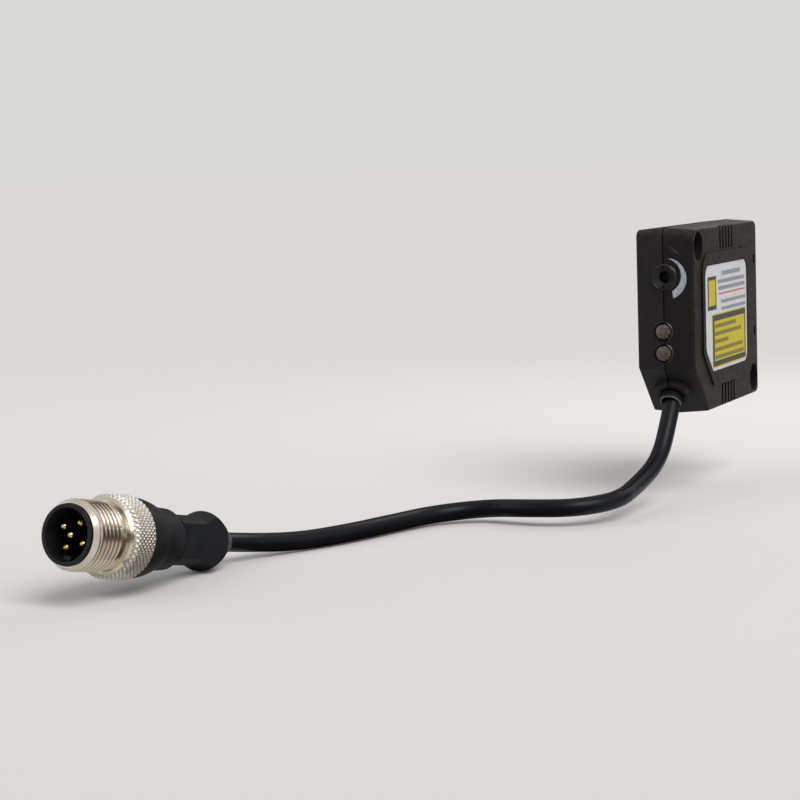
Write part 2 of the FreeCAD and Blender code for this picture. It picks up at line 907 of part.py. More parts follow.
def cable():
    axis = plug_frame()[1]
    points = [gland + inward * cable_inside, gland + out * cable_lead_out]
    points += cable_points
    points += [plug_exit + axis * cable_plug_lead, plug_exit - axis * cable_in_plug]
    return tube(points, cable_radius)


def build():
    placement = plug_frame()[0]
    nodes = {
        "housing_half_plain": housing_plain(),
        "housing_half_label": housing_label(),
        "label_sheet": label_sheet(),
        "front_window": front_window(),
        "optics_block": optics_block(),
        "laser_barrel": laser_barrel(),
        "collimator_lens": collimator_lens(),
        "laser_diode": laser_diode(),
        "receiver_lens": receiver_lens(),
        "photodiode": photodiode(),
        "circuit_board": circuit_board(),
        "control_chip": control_chip(),
        "laser_driver": laser_driver(),
        "capacitors": capacitors(),
        "gain_pot_body": gain_pot_body(),
        "gain_rotor": gain_rotor(),
        "led_holder": led_holder(),
        "led_upper": status_led(led_zs[0]),
        "led_lower": status_led(led_zs[1]),
        "cable_bush": cable_bush(),
    }
    for i, wire in enumerate(core_wires()):
        nodes[f"core_wire_{i + 1}"] = wire
    cord, radii, length = cable()
    print("cable length", round(length, 1), "bend radii", [round(r, 1) for r in radii])
    section = math.pi * cable_radius**2
    print("cable volume over section times length", round(cord.Volume / (section * length), 4))
    nodes["cable"] = cord
    plug = {
        "plug_overmould": plug_overmould(),
        "contact_insert": contact_insert(),
        "coupling_nut": coupling_nut(),
    }
    for i, place in enumerate(pin_places()):
        plug[f"contact_pin_{i + 1}"] = contact_pin(place)
    for name, shape in plug.items():
        shape.Placement = placement.multiply(shape.Placement)
        nodes[name] = shape
    return nodes


os.makedirs("parts", exist_ok=True)
for name, shape in build().items():
    shape.exportStep(f"parts/{name}.step")
    print(name, len(shape.Solids), shape.isValid(), round(shape.Volume, 2))
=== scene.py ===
import json
import math

import bmesh
import bpy
from mathutils import Euler, Matrix, Vector


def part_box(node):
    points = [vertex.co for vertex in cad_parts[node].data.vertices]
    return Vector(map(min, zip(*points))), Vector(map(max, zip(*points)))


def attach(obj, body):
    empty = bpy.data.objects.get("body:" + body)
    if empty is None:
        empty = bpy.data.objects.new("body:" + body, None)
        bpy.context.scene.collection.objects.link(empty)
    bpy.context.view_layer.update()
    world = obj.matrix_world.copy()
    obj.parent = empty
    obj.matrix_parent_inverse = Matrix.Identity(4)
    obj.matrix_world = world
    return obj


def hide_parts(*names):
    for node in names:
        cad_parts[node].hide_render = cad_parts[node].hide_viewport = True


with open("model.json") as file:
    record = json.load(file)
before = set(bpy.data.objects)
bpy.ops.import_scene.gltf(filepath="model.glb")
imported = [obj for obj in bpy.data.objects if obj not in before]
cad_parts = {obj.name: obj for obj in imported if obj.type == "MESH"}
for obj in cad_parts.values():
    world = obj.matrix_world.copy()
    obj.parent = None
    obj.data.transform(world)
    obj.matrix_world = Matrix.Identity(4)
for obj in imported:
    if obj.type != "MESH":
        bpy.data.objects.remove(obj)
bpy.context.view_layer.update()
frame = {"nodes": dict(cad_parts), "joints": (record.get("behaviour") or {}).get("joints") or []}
nodes = frame["nodes"]
scene = bpy.context.scene
mm = 0.001
lampNames = ["led_upper", "led_lower"]
contactNames = [f"contact_pin_{i}" for i in range(1, 6)]
print("frame loaded:", len(nodes), "nodes")


def hexColour(text):
    # sRGB hex to linear RGBA
    channels = [int(text[i:i + 2], 16) / 255 for i in (1, 3, 5)]
    linear = [c / 12.92 if c <= 0.04045 else ((c + 0.055) / 1.055) ** 2.4 for c in channels]
    return (*linear, 1.0)


def addNode(tree, kind, settings=None, links=None):
    # settings go to sockets of that name or number, stops to a colour ramp, the rest to the node itself
    node = tree.nodes.new(kind)
    for name, value in (settings or {}).items():
        if name == "stops":
            for element, (position, colour) in zip(node.color_ramp.elements, value):
                element.position = position
                element.color = hexColour(colour)
        elif isinstance(name, int) or name in node.inputs:
            node.inputs[name].default_value = value
        else:
            setattr(node, name, value)
    for socket, source in (links or {}).items():
        tree.links.new(source, node.inputs[socket])
    return node


# A colour mix's sockets share their names, so they go by number
mixFactor = 0
mixFirst = 6
mixSecond = 7
mixResult = 2

noiseSpan = {"From Min": 0.3, "From Max": 0.7}  # a noise's values mostly lie between these
paintedShadeColour = hexColour("#000000")  # black painted into grooves and seams as their shade


def newMaterial(name):
    # a bare material with its shader and the object's own coordinates in millimetres
    material = bpy.data.materials.new(name)
    material.use_nodes = True
    tree = material.node_tree
    shader = tree.nodes["Principled BSDF"]
    where = addNode(tree, "ShaderNodeTexCoord")
    inMm = addNode(tree, "ShaderNodeMapping", {"Scale": (1 / mm,) * 3}, {"Vector": where.outputs["Object"]})
    return material, tree, shader, inMm.outputs["Vector"]


def mouldedPlastic(name, look):
    # injection-moulded plastic: a soft grain, a little uneven in tone and gloss, painted darker down in
    # grooves as shade;
    # a real grain is finer, this is drawn coarse enough to show
    material, tree, shader, at = newMaterial(name)
    grain = addNode(
        tree,
        "ShaderNodeTexNoise",
        {"Scale": 1 / look["grainMm"], "Detail": 3.0, "Roughness": 0.6},
        {"Vector": at},
    )
    cloud = addNode(
        tree,
        "ShaderNodeTexNoise",
        {"Scale": 1 / look["cloudMm"], "Detail": 4.0},
        {"Vector": at},
    )
    tone = addNode(
        tree,
        "ShaderNodeValToRGB",
        {"stops": [(0.3, look["dark"]), (0.75, look["light"])]},
        {"Fac": cloud.outputs["Fac"]},
    )
    gloss = addNode(
        tree,
        "ShaderNodeMapRange",
        {**noiseSpan, "To Min": look["roughness"][0], "To Max": look["roughness"][1]},
        {"Value": grain.outputs["Fac"]},
    )
    # painted shade: hollows are painted darker and lose their gloss, open faces keep their tone
    hollow = addNode(tree, "ShaderNodeAmbientOcclusion", {"samples": 8, "Distance": look["hollowMm"] * mm})
    unshaded = addNode(
        tree,
        "ShaderNodeMapRange",
        {"From Min": 0.2, "From Max": 0.8, "To Min": 0.15},
        {"Value": hollow.outputs["AO"]},
    )
    shadedTone = addNode(
        tree,
        "ShaderNodeMix",
        {"data_type": "RGBA", mixFirst: paintedShadeColour},
        {mixFactor: unshaded.outputs["Result"], mixSecond: tone.outputs["Color"]},
    )
    sheen = addNode(
        tree,
        "ShaderNodeMath",
        {"operation": "MULTIPLY", 1: look["specular"]},
        {0: unshaded.outputs["Result"]},
    )
    eased = addNode(tree, "ShaderNodeBevel", {"samples": 6, "Radius": look["edgeMm"] * mm})
    bump = addNode(
        tree,
        "ShaderNodeBump",
        {"Strength": look["bump"], "Distance": look["grainDepthMm"] * mm},
        {"Height": grain.outputs["Fac"], "Normal": eased.outputs["Normal"]},
    )
    tree.links.new(shadedTone.outputs[mixResult], shader.inputs["Base Color"])
    tree.links.new(sheen.outputs["Value"], shader.inputs["Specular IOR Level"])
    tree.links.new(gloss.outputs["Result"], shader.inputs["Roughness"])
    tree.links.new(bump.outputs["Normal"], shader.inputs["Normal"])
    shader.inputs["IOR"].default_value = look["ior"]
    return material


def sparkErodedCase(name, look):
    # moulded case: the tool's spark-eroded grain, smoother on the end faces, with painted shade that turns
    # the seam black, and paler along its edges, partly wear and partly a painted highlight
    material, tree, shader, at = newMaterial(name)
    # rough where a face turns away from the ends, by how far its normal leaves Y, and at the crown, also
    # painted paler there as a highlight from above
    where = addNode(tree, "ShaderNodeTexCoord")
    facing = addNode(tree, "ShaderNodeSeparateXYZ", {}, {"Vector": where.outputs["Normal"]})
    endwise = addNode(tree, "ShaderNodeMath", {"operation": "ABSOLUTE"}, {0: facing.outputs["Y"]})
    sidewise = addNode(tree, "ShaderNodeMath", {"operation": "ABSOLUTE"}, {0: facing.outputs["X"]})
    offEnds = addNode(
        tree,
        "ShaderNodeMapRange",
        {"From Min": 0.62, "From Max": 0.3},
        {"Value": endwise.outputs["Value"]},
    )
    height = addNode(tree, "ShaderNodeSeparateXYZ", {}, {"Vector": at})
    crown = addNode(
        tree,
        "ShaderNodeMapRange",
        {"From Min": look["crownMm"][0], "From Max": look["crownMm"][1], "To Max": 0.7},
        {"Value": height.outputs["Z"]},
    )
    roughAndLitCrown = addNode(
        tree,
        "ShaderNodeMath",
        {"operation": "MAXIMUM"},
        {0: offEnds.outputs["Result"], 1: crown.outputs["Result"]},
    )
    # the large side faces shine less, and hollows, under painted shade, hardly at all
    gloss = addNode(
        tree,
        "ShaderNodeMapRange",
        {"From Min": 0.4, "From Max": 0.9, "To Min": look["specular"], "To Max": look["sideSpecular"]},
        {"Value": sidewise.outputs["Value"]},
    )
    hollow = addNode(tree, "ShaderNodeAmbientOcclusion", {"samples": 8, "Distance": look["hollowMm"] * mm})
    unshaded = addNode(
        tree,
        "ShaderNodeMapRange",
        {"From Min": 0.25, "From Max": 0.75, "To Min": 0.08},
        {"Value": hollow.outputs["AO"]},
    )
    sheen = addNode(
        tree,
        "ShaderNodeMath",
        {"operation": "MULTIPLY"},
        {0: unshaded.outputs["Result"], 1: gloss.outputs["Result"]},
    )
    # tone of the smooth ends, and of the grain over a soft cloud
    grain = addNode(
        tree,
        "ShaderNodeTexNoise",
        {"Scale": 1 / look["grainMm"], "Detail": 4.0, "Roughness": 0.65},
        {"Vector": at},
    )
    cloud = addNode(
        tree,
        "ShaderNodeTexNoise",
        {"Scale": 1 / look["cloudMm"], "Detail": 5.0},
        {"Vector": at},
    )
    mixed = addNode(
        tree,
        "ShaderNodeMath",
        {"operation": "MULTIPLY_ADD", 1: look["speckle"]},
        {0: grain.outputs["Fac"], 2: cloud.outputs["Fac"]},
    )
    centred = addNode(
        tree,
        "ShaderNodeMath",
        {"operation": "SUBTRACT", 1: look["speckle"] / 2},
        {0: mixed.outputs["Value"]},
    )
    endTone = addNode(
        tree,
        "ShaderNodeValToRGB",
        {"stops": [(0.3, look["endDark"]), (0.75, look["endLight"])]},
        {"Fac": cloud.outputs["Fac"]},
    )
    roughTone = addNode(
        tree,
        "ShaderNodeValToRGB",
        {"stops": [(0.25, look["roughDark"]), (0.75, look["roughLight"])]},
        {"Fac": centred.outputs["Value"]},
    )
    tone = addNode(
        tree,
        "ShaderNodeMix",
        {"data_type": "RGBA"},
        {
            mixFactor: roughAndLitCrown.outputs["Value"],
            mixFirst: endTone.outputs["Color"],
            mixSecond: roughTone.outputs["Color"],
        },
    )
    # an edge is where the rounded normal leaves the flat one; on rough faces only it is painted paler,
    # partly as wear and partly as a painted highlight
    rounded = addNode(tree, "ShaderNodeBevel", {"samples": 6, "Radius": look["wearMm"] * mm})
    flat = addNode(tree, "ShaderNodeNewGeometry")
    agreement = addNode(
        tree,
        "ShaderNodeVectorMath",
        {"operation": "DOT_PRODUCT"},
        {0: rounded.outputs["Normal"], 1: flat.outputs["Normal"]},
    )
    onEdge = addNode(
        tree,
        "ShaderNodeMapRange",
        {"From Min": 0.975, "From Max": 0.85, "To Max": look["wearAndHighlight"]},
        {"Value": agreement.outputs["Value"]},
    )
    edgeWearAndHighlight = addNode(
        tree,
        "ShaderNodeMath",
        {"operation": "MULTIPLY"},
        {0: onEdge.outputs["Result"], 1: roughAndLitCrown.outputs["Value"]},
    )
    wornAndLit = addNode(
        tree,
        "ShaderNodeMix",
        {"data_type": "RGBA", mixSecond: hexColour(look["wornLitEdge"])},
        {mixFactor: edgeWearAndHighlight.outputs["Value"], mixFirst: tone.outputs[mixResult]},
    )
    shadedTone = addNode(
        tree,
        "ShaderNodeMix",
        {"data_type": "RGBA", mixFirst: paintedShadeColour},
        {mixFactor: unshaded.outputs["Result"], mixSecond: wornAndLit.outputs[mixResult]},
    )
    # relief of the grain, shallow on the ends
    relief = addNode(
        tree,
        "ShaderNodeMapRange",
        {"To Min": look["endBump"], "To Max": look["roughBump"]},
        {"Value": roughAndLitCrown.outputs["Value"]},
    )
    eased = addNode(tree, "ShaderNodeBevel", {"samples": 6, "Radius": look["edgeMm"] * mm})
    bump = addNode(
        tree,
        "ShaderNodeBump",
        {"Distance": look["grainDepthMm"] * mm},
        {
            "Strength": relief.outputs["Result"],
            "Height": grain.outputs["Fac"],
            "Normal": eased.outputs["Normal"],
        },
    )
    tree.links.new(shadedTone.outputs[mixResult], shader.inputs["Base Color"])
    tree.links.new(sheen.outputs["Value"], shader.inputs["Specular IOR Level"])
    tree.links.new(bump.outputs["Normal"], shader.inputs["Normal"])
    shader.inputs["Roughness"].default_value = look["roughness"]
    shader.inputs["IOR"].default_value = look["ior"]
    return material


def turnedMetal(name, look):
    # turned and plated metal: tool marks that blur the reflection, with a faint stain in the plating;
    # real marks are finer, these are drawn coarse enough to show
    material, tree, shader, at = newMaterial(name)
    marks = addNode(
        tree,
        "ShaderNodeTexNoise",
        {"Scale": 1 / look["markMm"], "Detail": 2.0},
        {"Vector": at},
    )
    stain = addNode(
        tree,
        "ShaderNodeTexNoise",
        {"Scale": 1 / look["stainMm"], "Detail": 5.0},
        {"Vector": at},
    )
    tone = addNode(
        tree,
        "ShaderNodeValToRGB",
        {"stops": [(0.35, look["dark"]), (0.65, look["light"])]},
        {"Fac": stain.outputs["Fac"]},
    )
    gloss = addNode(
        tree,
        "ShaderNodeMapRange",
        {**noiseSpan, "To Min": look["roughness"][0], "To Max": look["roughness"][1]},
        {"Value": marks.outputs["Fac"]},
    )
    tree.links.new(tone.outputs["Color"], shader.inputs["Base Color"])
    tree.links.new(gloss.outputs["Result"], shader.inputs["Roughness"])
    shader.inputs["Metallic"].default_value = 1.0
    return material


def clearResin(name, look):
    # cast resin or glass, tinted, with a faint cloud inside
    material, tree, shader, at = newMaterial(name)
    cloud = addNode(
        tree,
        "ShaderNodeTexNoise",
        {"Scale": 1 / look["cloudMm"], "Detail": 3.0},
        {"Vector": at},
    )
    tone = addNode(
        tree,
        "ShaderNodeValToRGB",
        {"stops": [(0.0, look["dark"]), (1.0, look["light"])]},
        {"Fac": cloud.outputs["Fac"]},
    )
    tree.links.new(tone.outputs["Color"], shader.inputs["Base Color"])
    shader.inputs["Roughness"].default_value = look["roughness"]
    shader.inputs["Transmission Weight"].default_value = look["transmission"]
    shader.inputs["IOR"].default_value = look["ior"]
    return material


def smokedLamp(name, look, centre):
    # diffused epoxy lamp: brown-grey resin with streaks that run out from the middle
    material, tree, shader, at = newMaterial(name)
    fromMiddle = addNode(tree, "ShaderNodeVectorMath", {"operation": "SUBTRACT", 1: centre}, {0: at})
    facing = addNode(  # the lamp looks along Y, the gradient turns about Z
        tree,
        "ShaderNodeMapping",
        {"Rotation": (math.radians(90), 0, 0)},
        {"Vector": fromMiddle.outputs["Vector"]},
    )
    turn = addNode(
        tree,
        "ShaderNodeTexGradient",
        {"gradient_type": "RADIAL"},
        {"Vector": facing.outputs["Vector"]},
    )
    around = addNode(
        tree,
        "ShaderNodeMath",
        {"operation": "MULTIPLY", 1: look["streaks"]},
        {0: turn.outputs["Fac"]},
    )
    streak = addNode(
        tree,
        "ShaderNodeTexNoise",
        {"noise_dimensions": "1D", "Scale": 1.0, "Detail": 1.0},
        {"W": around.outputs["Value"]},
    )
    cloud = addNode(
        tree,
        "ShaderNodeTexNoise",
        {"Scale": 1 / look["cloudMm"], "Detail": 3.0},
        {"Vector": at},
    )
    both = addNode(
        tree,
        "ShaderNodeMath",
        {"operation": "ADD"},
        {0: streak.outputs["Fac"], 1: cloud.outputs["Fac"]},
    )
    tone = addNode(
        tree,
        "ShaderNodeMapRange",
        {"From Min": 0.75, "From Max": 1.2},
        {"Value": both.outputs["Value"]},
    )
    colour = addNode(
        tree,
        "ShaderNodeValToRGB",
        {"stops": [(0.0, look["dark"]), (1.0, look["light"])]},
        {"Fac": tone.outputs["Result"]},
    )
    bump = addNode(
        tree,
        "ShaderNodeBump",
        {"Strength": look["bump"], "Distance": look["streakDepthMm"] * mm},
        {"Height": streak.outputs["Fac"]},
    )
    tree.links.new(colour.outputs["Color"], shader.inputs["Base Color"])
    tree.links.new(bump.outputs["Normal"], shader.inputs["Normal"])
    shader.inputs["Roughness"].default_value = look["roughness"]
    shader.inputs["IOR"].default_value = look["ior"]
    return material


def mottledFinish(name, look):
    # ink, film, ceramic or cut rubber: an even matte colour with a slight mottle
    material, tree, shader, at = newMaterial(name)
    mottle = addNode(
        tree,
        "ShaderNodeTexNoise",
        {"Scale": 1 / look["mottleMm"], "Detail": 4.0},
        {"Vector": at},
    )
    tone = addNode(
        tree,
        "ShaderNodeValToRGB",
        {"stops": [(0.3, look["dark"]), (0.7, look["light"])]},
        {"Fac": mottle.outputs["Fac"]},
    )
    tree.links.new(tone.outputs["Color"], shader.inputs["Base Color"])
    shader.inputs["Roughness"].default_value = look["roughness"]
    shader.inputs["IOR"].default_value = 1.5
    shader.inputs["Specular IOR Level"].default_value = 0.12
    return material


def addPiece(name, bm, materials, body):
    # a mesh of its own that rides on a body
    mesh = bpy.data.meshes.new(name)
    bmesh.ops.recalc_face_normals(bm, faces=bm.faces)
    bm.to_mesh(mesh)
    bm.free()
    piece = bpy.data.objects.new(name, mesh)
    scene.collection.objects.link(piece)
    for material in materials:
        mesh.materials.append(material)
    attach(piece, body)
    return piece


def shadeSmooth(piece, sharpDegrees):
    for face in piece.data.polygons:
        face.use_smooth = True
    piece.data.set_sharp_from_angle(angle=math.radians(sharpDegrees))


def addSlab(bm, outline, thickness, lift, ink=0):
    # closed thin slab on an outline of points in mm, raised along the direction of lift
    low = [bm.verts.new(p * mm) for p in outline]
    high = [bm.verts.new((p + lift * thickness) * mm) for p in outline]
    faces = [bm.faces.new(low[::-1]), bm.faces.new(high)]
    for i in range(len(outline)):
        j = (i + 1) % len(outline)
        faces.append(bm.faces.new((low[i], low[j], high[j], high[i])))
    for face in faces:
        face.material_index = ink


def dress(names, material):
    # gives carried-over solids their finish
    for name in names:
        solid = nodes[name]
        solid.data.materials.clear()
        solid.data.materials.append(material)


def middleOf(name):
    # middle of a solid's box, mm
    low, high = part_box(name)
    return (low + high) / 2 / mm


def jointNamed(name):
    return next(joint for joint in frame["joints"] if joint["name"] == name)


# Camera, matched to the photograph's view
cameraView = {
    "place": (141.28, -450.31, 33.95),  # mm
    "azimuth": 24.561,  # degrees
    "lookDown": 6.142,
    "roll": -1.888,
    "lens": 99.0,  # mm
    "sensor": 36.0,
    "clipStart": 10.0,
}


def addCamera(view):
    data = bpy.data.cameras.new("productCamera")
    data.lens = view["lens"]
    data.sensor_width = view["sensor"]
    data.clip_start = view["clipStart"] * mm
    camera = bpy.data.objects.new("productCamera", data)
    scene.collection.objects.link(camera)
    aim = Euler((math.radians(90 - view["lookDown"]), 0, math.radians(view["azimuth"]))).to_matrix()
    aim = aim @ Matrix.Rotation(math.radians(view["roll"]), 3, "Z")
    camera.matrix_world = Matrix.Translation(Vector(view["place"]) * mm) @ aim.to_4x4()
    scene.camera = camera


addCamera(cameraView)
print("camera placed")

# Finishes of the case; its two halves differ only on the end faces
caseLook = {
    "roughDark": "#181616",
    "roughLight": "#383532",
    "grainMm": 0.4,  # real grit is finer, drawn coarse enough to show
    "cloudMm": 1.5,
    "speckle": 1.6,  # weight of the grain against the cloud
    "grainDepthMm": 0.08,
    "roughBump": 0.8,
    "roughness": 0.52,
    "ior": 1.53,
    "specular": 0.16,
    "sideSpecular": 0.04,
    "hollowMm": 1.2,
    "crownMm": (16.6, 18.4),  # the end faces turn rough towards the top, painted paler there as a highlight of light from above
    "edgeMm": 0.08,
    "wearMm": 0.25,
    "wearAndHighlight": 0.35,
    "wornLitEdge": "#5b5654",
}
# the end tones are painted light and shade: the plain half lighter, the label half darker, as light falls
# on their drafted faces
plainHalfLook = {**caseLook, "endDark": "#1e1c1d", "endLight": "#252324", "endBump": 0.1}
labelHalfLook = {**caseLook, "endDark": "#161415", "endLight": "#1d1b1c", "endBump": 0.15}
dress(["housing_half_plain"], sparkErodedCase("mouldedAbsPlainHalf", plainHalfLook))
dress(["housing_half_label"], sparkErodedCase("mouldedAbsLabelHalf", labelHalfLook))

filterAcrylic = clearResin(  # dark red sheet, all but black until light falls through it
    "castAcrylicRedFilter",
    {
        "dark": "#2a0306",
        "light": "#350509",
        "cloudMm": 9.0,
        "roughness": 0.08,
        "transmission": 0.2,
        "ior": 1.49,
    },
)
dress(["front_window"], filterAcrylic)

lampLook = {  # clouded resin, duller than glass
    "dark": "#2a2420",
    "light": "#65594f",
    "streaks": 22.0,
    "streakDepthMm": 0.05,
    "cloudMm": 0.7,
    "bump": 0.6,
    "roughness": 0.3,
    "ior": 1.54,
}
for lampName in lampNames:
    dress([lampName], smokedLamp("epoxySmoke_" + lampName, lampLook, middleOf(lampName)))

rotorSteel = turnedMetal(  # brownish zinc, painted dark as the shade down in its hole
    "zincPlatedScrew",
    {"dark": "#17130c", "light": "#3f3321", "markMm": 0.2, "stainMm": 0.8, "roughness": (0.35, 0.5)},
)
dress(["gain_rotor"], rotorSteel)
print("case dressed")

# Crescent printed round the adjuster, and a fine scratch above it
rearPrint = {
    "middle": (5.7, 9.3),  # x and z, mm
    "partingX": 5.7,
    "rearY": -24.3,  # rear face at the parting line
    "wideX": 12.0,
    "draft": 0.5,
    "innerOffset": (0.27, 0.33),
    "innerRadius": 3.52,
    "outerOffset": (0.67, -0.29),
    "outerRadius": 4.2,
    "turnFrom": 16.0,  # degrees clockwise from the top
    "innerTurnTo": 152.0,
    "outerTurnTo": 160.0,
    "steps": 40,
    "thickness": 0.03,
    "sunk": 0.02,
    "scratch": [(6.7, 15.8), (8.3, 14.62), (9.75, 13.4)],
    "scratchAcross": (0.55, 0, 0.83),
    "scratchWidth": 0.1,
}
inkPale = mottledFinish(  # thin pale ink, a little patchy
    "padPrintedInkPale",
    {"dark": "#82868e", "light": "#b3b8bf", "mottleMm": 0.4, "roughness": 0.5},
)
scuffedAbs = mottledFinish(  # plastic rubbed pale along the scratch
    "scuffedAbs",
    {"dark": "#4d4949", "light": "#6b6665", "mottleMm": 0.4, "roughness": 0.6},
)
outOfRear = Vector((0, -1, 0))


def rearFacePoint(x, z, sunk):
    # place on the drafted rear face of the label half
    parting = rearPrint["partingX"]
    lean = rearPrint["draft"] * (x - parting) / (rearPrint["wideX"] - parting)
    return Vector((x, rearPrint["rearY"] + lean + sunk, z))


def printCrescent(spec):
    def arc(offset, radius, turnTo):
        points = []
        for i in range(spec["steps"] + 1):
            turn = math.radians(spec["turnFrom"] + (turnTo - spec["turnFrom"]) * i / spec["steps"])
            x = spec["middle"][0] + offset[0] + radius * math.sin(turn)
            z = spec["middle"][1] + offset[1] + radius * math.cos(turn)
            points.append(rearFacePoint(x, z, spec["sunk"]))
        return points

    outline = arc(spec["outerOffset"], spec["outerRadius"], spec["outerTurnTo"])
    outline += arc(spec["innerOffset"], spec["innerRadius"], spec["innerTurnTo"])[::-1]
    bm = bmesh.new()
    addSlab(bm, outline, spec["thickness"] + spec["sunk"], outOfRear)
    addPiece("adjusterCrescent", bm, [inkPale], "case")


def scratchRear(spec):
    half = Vector(spec["scratchAcross"]) * spec["scratchWidth"] / 2
    places = [rearFacePoint(x, z, spec["sunk"]) for x, z in spec["scratch"]]
    outline = [places[0], places[1] + half, places[2], places[1] - half]
    bm = bmesh.new()
    addSlab(bm, outline, spec["thickness"], outOfRear)
    addPiece("rearScratch", bm, [scuffedAbs], "case")


printCrescent(rearPrint)
scratchRear(rearPrint)
print("rear face printed")

# Inner pieces, closed in behind the case
innerBlack = mouldedPlastic(  # even black with a dull skin
    "mouldedPolycarbonateBlack",
    {
        "dark": "#161616",
        "light": "#1e1e1e",
        "grainMm": 0.3,
        "cloudMm": 5.0,
        "grainDepthMm": 0.02,
        "bump": 0.3,
        "roughness": (0.5, 0.6),
        "ior": 1.58,
        "specular": 0.3,
        "hollowMm": 1.0,
        "edgeMm": 0.1,
    },
)
dress(["optics_block", "led_holder", "photodiode", "control_chip", "laser_driver"], innerBlack)
boardLaminate = mouldedPlastic(  # green lacquer, slightly cloudy over the weave
    "glassFibreLaminateGreen",
    {
        "dark": "#0d3a1c",
        "light": "#165529",
        "grainMm": 0.6,
        "cloudMm": 2.5,
        "grainDepthMm": 0.02,
        "bump": 0.2,
        "roughness": (0.3, 0.4),
        "ior": 1.55,
        "specular": 0.4,
        "hollowMm": 1.0,
        "edgeMm": 0.1,
    },
)
dress(["circuit_board"], boardLaminate)
potNylon = mouldedPlastic(  # navy, close to black in the shade of its hole
    "mouldedNylonNavy",
    {
        "dark": "#0c1018",
        "light": "#111723",
        "grainMm": 0.4,
        "cloudMm": 2.0,
        "grainDepthMm": 0.01,
        "bump": 0.2,
        "roughness": (0.45, 0.55),
        "ior": 1.53,
        "specular": 0.2,
        "hollowMm": 1.0,
        "edgeMm": 0.1,
    },
)
dress(["gain_pot_body"], potNylon)
ceramicTan = mottledFinish(  # dull tan, like unglazed clay
    "firedCeramicTan",
    {"dark": "#a8865f", "light": "#b89872", "mottleMm": 0.4, "roughness": 0.5},
)
dress(["capacitors"], ceramicTan)
brassTurned = turnedMetal(  # warm yellow with a soft shine
    "turnedBrass",
    {"dark": "#b08d4c", "light": "#c9a55f", "markMm": 0.2, "stainMm": 2.0, "roughness": (0.25, 0.35)},
)
dress(["laser_barrel"], brassTurned)
canSteel = turnedMetal(  # pale gold, brighter than the brass
    "goldFlashedSteelCan",
    {"dark": "#b59a5c", "light": "#cbb377", "markMm": 0.2, "stainMm": 2.0, "roughness": (0.2, 0.3)},
)
dress(["laser_diode"], canSteel)
opticalGlass = clearResin(  # clear, so that only edges and glints show
    "polishedOpticalGlass",
    {
        "dark": "#e8eef0",
        "light": "#f2f6f7",
        "cloudMm": 3.0,
        "roughness": 0.02,
        "transmission": 1.0,
        "ior": 1.52,
    },
)
dress(["collimator_lens", "receiver_lens"], opticalGlass)
coreColours = {
    "core_wire_1": ("Brown", "#5a3317"),
    "core_wire_2": ("White", "#d8d5cc"),
    "core_wire_3": ("Blue", "#1f4fa3"),
    "core_wire_4": ("Black", "#1a1a1a"),
    "core_wire_5": ("Grey", "#7c7c7a"),
}
for coreName, (colourName, colourHex) in coreColours.items():
    corePvc = mottledFinish(  # plain coloured sheath with a soft shine
        "extrudedPvc" + colourName,
        {"dark": colourHex, "light": colourHex, "mottleMm": 0.5, "roughness": 0.45},
    )
    dress([coreName], corePvc)
print("inner pieces dressed")

# Label film with plain printed fields; each area is y from, y to, z from, z to, mm
labelPrint = {
    "layer": 0.012,  # thickness of one ink layer
    "redLine": (-6.6, 13.2, 4.6, 4.9),
    "greyBars": [
        (-4.5, 9.6, 8.5, 9.4),
        (-7.4, 12.8, 6.9, 7.7),
        (-6.9, 13.0, 5.5, 6.3),
        (-5.1, 13.4, 2.7, 3.4),
        (-4.9, 13.4, 1.2, 1.9),
    ],
    "fieldHalo": (-12.0, 13.4, -10.4, 0.75),
    "fieldFrame": (-11.6, 13.1, -10.1, 0.5),
    "fieldInside": (-10.3, 12.3, -9.0, -0.7),
    "fieldBars": [
        (-9.9, 5.7, -2.2, -1.4),
        (-10.0, 9.6, -3.8, -3.0),
        (-10.1, -0.2, -5.4, -4.6),
        (-10.1, 10.8, -7.1, -6.3),
        (-9.8, 11.4, -8.7, -7.9),
    ],
    "patchFrame": (-14.8, -8.6, 1.7, 8.6),
    "patchInside": (-14.1, -9.3, 2.6, 7.9),
}
labelInks = {  # flat inks, each a little uneven
    "Red": {"dark": "#b8454c", "light": "#c55a60", "mottleMm": 0.6, "roughness": 0.4},
    "Yellow": {"dark": "#c1ae0c", "light": "#ccba18", "mottleMm": 1.5, "roughness": 0.4},
    "Dark": {"dark": "#37332d", "light": "#433e37", "mottleMm": 0.8, "roughness": 0.42},
    "Grey": {"dark": "#83858d", "light": "#95979f", "mottleMm": 0.8, "roughness": 0.4},
    "Olive": {"dark": "#766c28", "light": "#877c30", "mottleMm": 0.8, "roughness": 0.42},
}
labelFilm = mottledFinish(  # cool white film with a satin skin
    "polyesterLabelWhite",
    {"dark": "#c9c9cc", "light": "#d5d5d7", "mottleMm": 3.0, "roughness": 0.38},
)
dress(["label_sheet"], labelFilm)


def printLabel(spec):
    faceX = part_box("label_sheet")[1].x / mm
    stack = [  # ink, its layers from the film up, and its areas
        ("Red", 1, [spec["redLine"]]),
        ("Grey", 1, spec["greyBars"]),
        ("Yellow", 1, [spec["fieldHalo"]]),
        ("Dark", 2, [spec["fieldFrame"], spec["patchFrame"]]),
        ("Yellow", 3, [spec["fieldInside"], spec["patchInside"]]),
        ("Olive", 4, spec["fieldBars"]),
    ]
    inkOrder = list(labelInks)
    bm = bmesh.new()
    for ink, layers, areas in stack:
        for yFrom, yTo, zFrom, zTo in areas:
            corners = ((yFrom, zFrom), (yTo, zFrom), (yTo, zTo), (yFrom, zTo))
            outline = [Vector((faceX, y, z)) for y, z in corners]
            addSlab(bm, outline, spec["layer"] * layers, Vector((1, 0, 0)), inkOrder.index(ink))
    inks = [mottledFinish("printedInk" + ink, look) for ink, look in labelInks.items()]
    addPiece("labelPrint", bm, inks, "case")


printLabel(labelPrint)
print("label printed")

